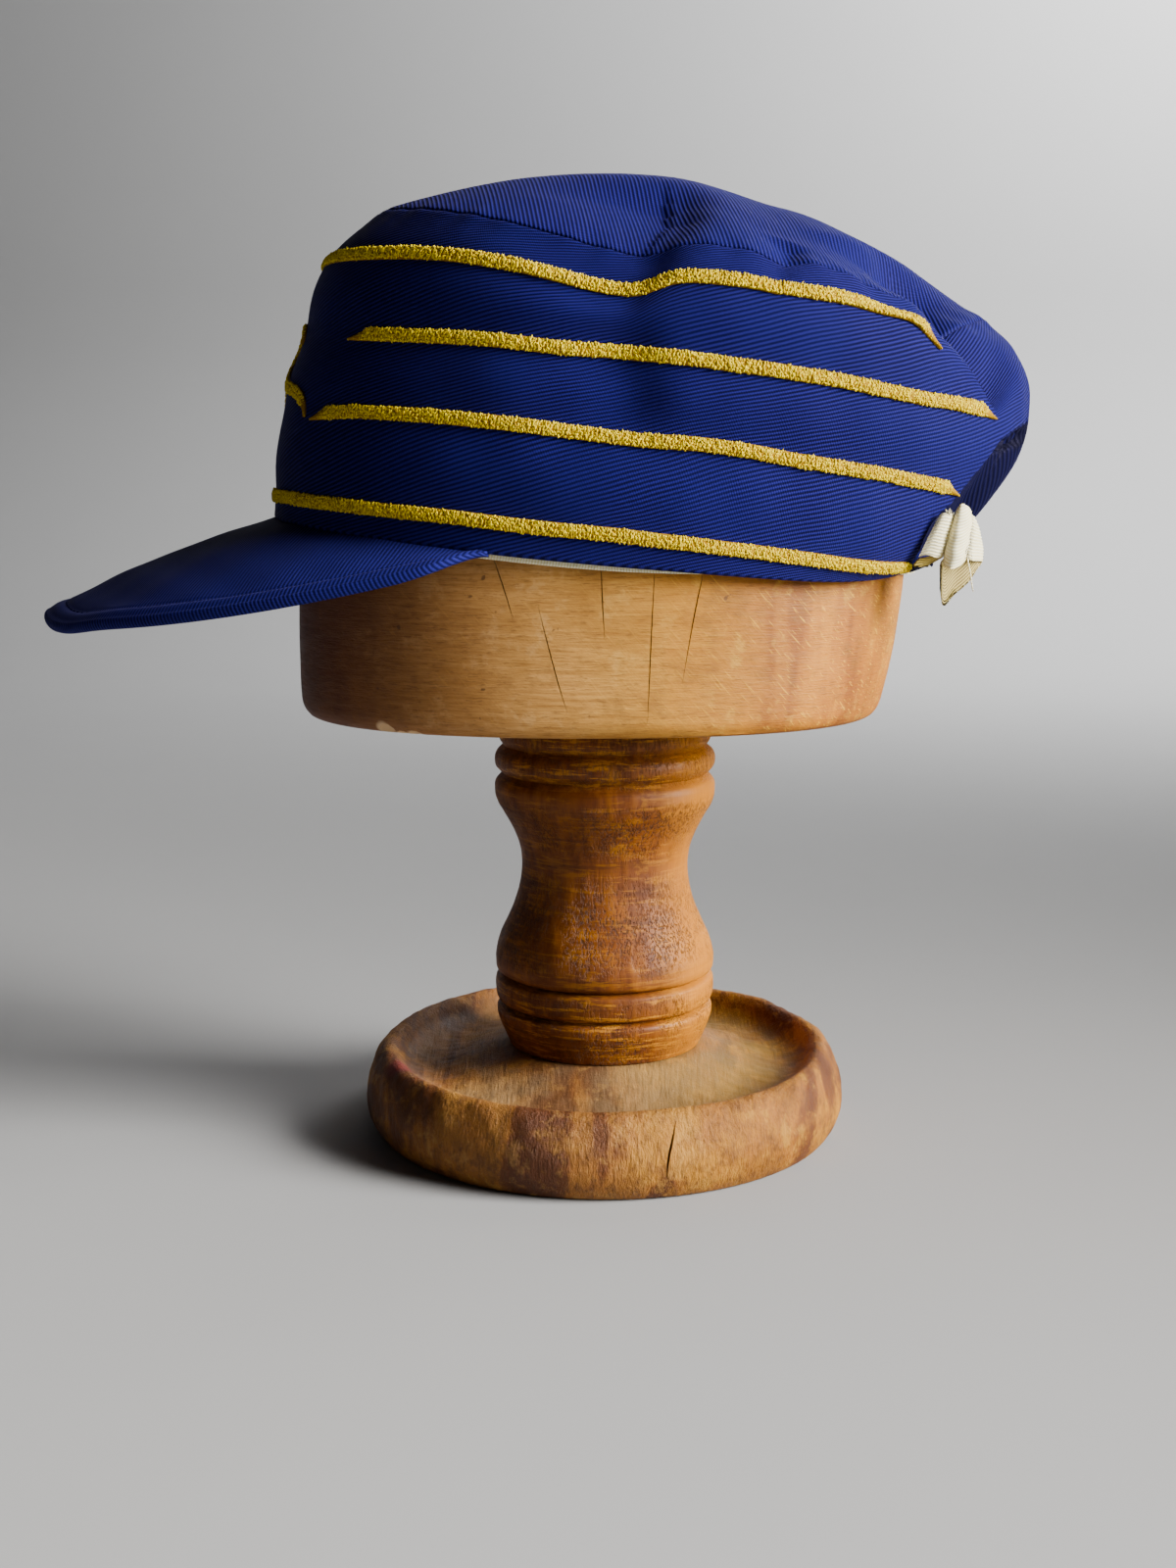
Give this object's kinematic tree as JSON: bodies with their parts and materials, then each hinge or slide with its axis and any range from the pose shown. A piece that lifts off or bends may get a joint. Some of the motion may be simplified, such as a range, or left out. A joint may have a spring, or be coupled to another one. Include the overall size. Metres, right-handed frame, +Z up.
{
  "type": "pillbox cap on hat stand",
  "caption": "Soft pillbox cap with raised horizontal stripes, a short curved peak and a ribbon sweatband tied behind, resting on a wooden hat block on a turned column and dished base.",
  "frame": {"origin": "centre of the flat underside of the stand's base, which stands on the surface", "axes": "+Z up along the stand's column, -X the way the cap's peak points, -Y the wearer's left"},
  "size_m": [0.3184, 0.18, 0.312],
  "materials": {
    "blue_cloth": "matte coarse diagonal twill",
    "gold_stitching": "raised looped chain stitch",
    "cream_ribbon": "ribbed grosgrain ribbon",
    "block_wood": "bare pale wood, worn and cracked",
    "turned_wood": "turned brown wood, worn wax"
  },
  "bodies": {
    "root": {"stand_base": "turned_wood", "stand_column": "turned_wood", "hat_block": "block_wood", "crown_side": "blue_cloth", "crown_top": "blue_cloth", "peak": "blue_cloth", "sweatband": "cream_ribbon", "stripe_rim": "gold_stitching", "stripe_top": "gold_stitching", "stripe_lower_left": "gold_stitching", "stripe_lower_right": "gold_stitching", "stripe_upper_left": "gold_stitching", "stripe_upper_right": "gold_stitching", "scroll_left": "gold_stitching", "scroll_right": "gold_stitching", "scroll_lozenge": "gold_stitching", "tie_knot": "cream_ribbon", "tie_wing_left": "cream_ribbon", "tie_wing_right": "cream_ribbon", "tie_tail": "cream_ribbon"}
  },
  "joints": []
}
